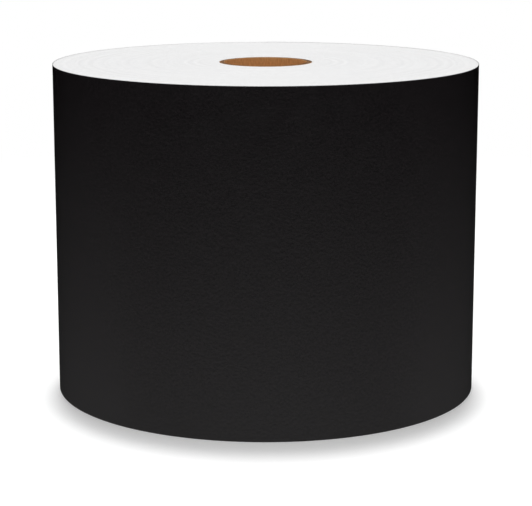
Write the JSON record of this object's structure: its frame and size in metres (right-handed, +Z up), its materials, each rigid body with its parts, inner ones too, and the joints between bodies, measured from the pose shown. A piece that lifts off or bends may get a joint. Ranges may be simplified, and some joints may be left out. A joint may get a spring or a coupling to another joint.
{
  "type": "roll of sign vinyl",
  "caption": "Roll of black adhesive sign film on a paper liner, wound face out on an open paperboard core and standing on its end, with a tail that lifts and peels.",
  "frame": {"origin": "on the axis of the core's bore, in the plane of the bottom end that the roll stands on", "axes": "+Z up along the roll's axis, +Y towards the tail's edge and the tape tab at the back, and the picture's camera on the -Y side"},
  "size_m": [0.1307, 0.1312, 0.1016],
  "materials": {
    "black_film": "satin",
    "liner_paper": "satin",
    "web_end": "matte",
    "kraft_ply": "matte",
    "core_board": "matte",
    "starter_tape": "matte",
    "paper_tape": "matte"
  },
  "bodies": {
    "roll": {"core_inner_ply": "kraft_ply", "core_body_ply_1": "core_board", "core_body_ply_2": "core_board", "core_body_ply_3": "core_board", "core_outer_ply": "kraft_ply", "starter_tape": "starter_tape", "wound_web": "web_end", "outer_turn_liner": "liner_paper", "outer_turn_film": "black_film"},
    "tail_root": {"tail_liner_root": "liner_paper", "tail_film_root": "black_film"},
    "tail_middle": {"tail_liner_middle": "liner_paper", "tail_film_middle": "black_film"},
    "tail_end": {"tail_liner_end": "liner_paper", "tail_film_end": "black_film"},
    "film_end": {"film_peel_end": "black_film", "tape_tab_stuck_end": "paper_tape"},
    "tape_end": {"tape_tab_free_end": "paper_tape"}
  },
  "joints": [
    {"name": "tail_lift", "type": "hinge", "parent": "roll", "child": "tail_root", "pos_m": [0.053, 0.03864, 0.0508], "axis": [0, 0, -1], "range_deg": [0, 25]},
    {"name": "tail_bend_middle", "type": "hinge", "parent": "tail_root", "child": "tail_middle", "pos_m": [0.04033, 0.05176, 0.0508], "axis": [0, 0, -1], "range_deg": [0, 25]},
    {"name": "tail_bend_end", "type": "hinge", "parent": "tail_middle", "child": "tail_end", "pos_m": [0.02454, 0.06088, 0.0508], "axis": [0, 0, -1], "range_deg": [0, 25]},
    {"name": "film_peel", "type": "hinge", "parent": "tail_end", "child": "film_end", "pos_m": [0.01863, 0.06303, 0.0508], "axis": [0, 0, -1], "range_deg": [0, 110]},
    {"name": "tape_tab_lift", "type": "hinge", "parent": "film_end", "child": "tape_end", "pos_m": [0, 0.06588, 0.0508], "axis": [0, 0, -1], "range_deg": [0, 90]}
  ],
  "couplings": [
    {"joint": "tail_bend_middle", "follows": "tail_lift", "ratio": 1},
    {"joint": "tail_bend_end", "follows": "tail_lift", "ratio": 1}
  ]
}
